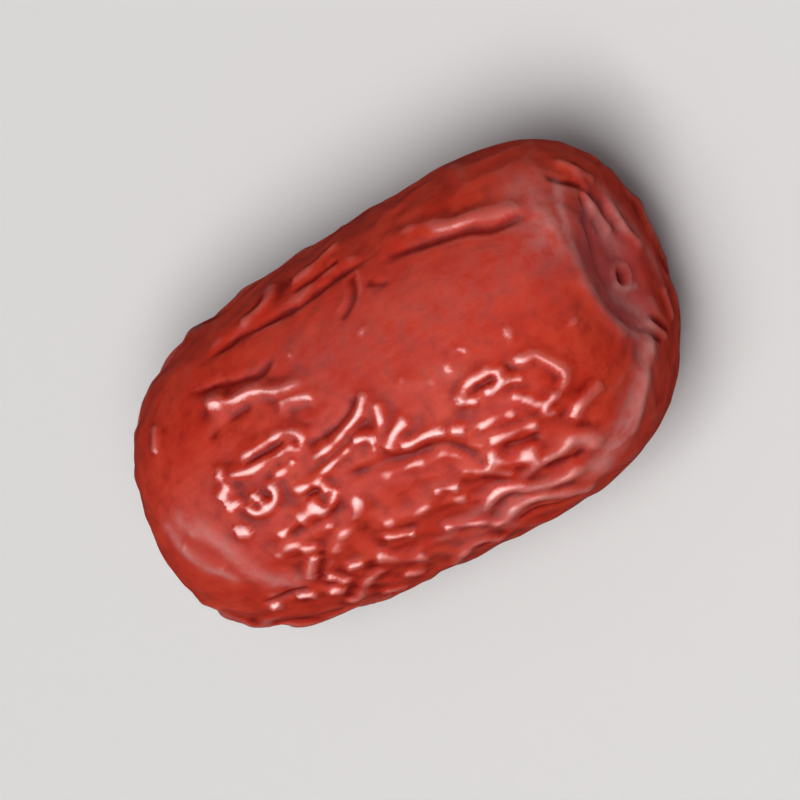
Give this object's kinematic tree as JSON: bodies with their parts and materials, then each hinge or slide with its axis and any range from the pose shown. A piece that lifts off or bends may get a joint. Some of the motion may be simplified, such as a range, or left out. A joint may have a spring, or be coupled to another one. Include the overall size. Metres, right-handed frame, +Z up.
{
  "type": "dried jujube",
  "caption": "Whole dried red jujube with glossy wrinkled skin, a hollow round its stem scar, lying on its side.",
  "frame": {"origin": "middle of the bounding box in X and Y, on the surface that the fruit lies on", "axes": "+X along the fruit towards its stem end, +Y across it, +Z up"},
  "size_m": [0.0436, 0.0262, 0.0255],
  "materials": {
    "dried_skin": "glossy, wrinkled, deep red"
  },
  "bodies": {
    "root": {"jujube_fruit": "dried_skin"}
  },
  "joints": []
}
